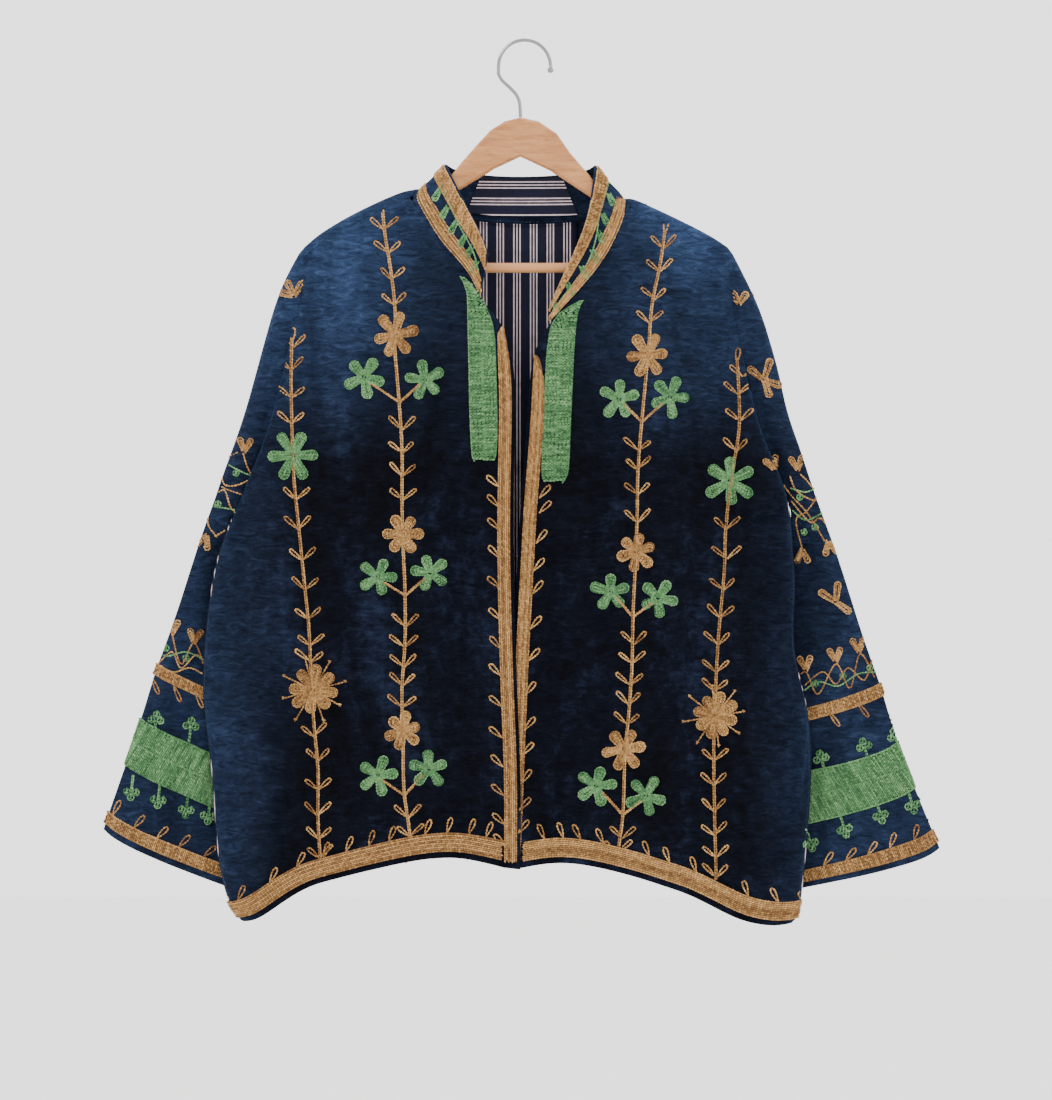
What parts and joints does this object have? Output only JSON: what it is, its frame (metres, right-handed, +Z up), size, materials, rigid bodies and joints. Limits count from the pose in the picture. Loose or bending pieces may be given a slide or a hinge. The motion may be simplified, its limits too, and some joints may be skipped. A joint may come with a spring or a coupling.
{
  "type": "jacket on a hanger",
  "caption": "Open-fronted velvet jacket with a stand collar, wide bell sleeves and chain-stitch bands, hung on a wooden clothes hanger.",
  "frame": {"origin": "inside the top of the hanger's hook, where the hook bears on a rail", "axes": "+Z up, +X towards the wearer's left, +Y from the jacket's front to its back"},
  "size_m": [0.838, 0.0901, 0.8864],
  "materials": {
    "velvet": "deep navy velvet with a blue sheen",
    "lining": "navy cotton with groups of three pale lines",
    "tan_thread": "tan silk chain stitch, worked solid",
    "green_thread": "green silk chain stitch, worked solid",
    "wood": "satin varnish",
    "bar_wood": "satin varnish, turned",
    "steel": "polished"
  },
  "bodies": {
    "root": {"back": "velvet", "back_lining": "lining", "collar": "velvet", "collar_band_lower": "tan_thread", "collar_band_upper": "tan_thread", "collar_facing": "lining", "cuff_band_left": "tan_thread", "cuff_band_right": "tan_thread", "forearm_band_left": "tan_thread", "forearm_band_right": "tan_thread", "front_band_left": "tan_thread", "front_band_right": "tan_thread", "front_left": "velvet", "front_right": "velvet", "green_band_left": "green_thread", "green_band_right": "green_thread", "hanger_bar": "bar_wood", "hanger_hook": "steel", "hanger_wood": "wood", "hem_band_back": "tan_thread", "hem_band_left": "tan_thread", "hem_band_right": "tan_thread", "placket_left": "green_thread", "placket_right": "green_thread", "sleeve_left": "velvet", "sleeve_right": "velvet"}
  },
  "joints": []
}
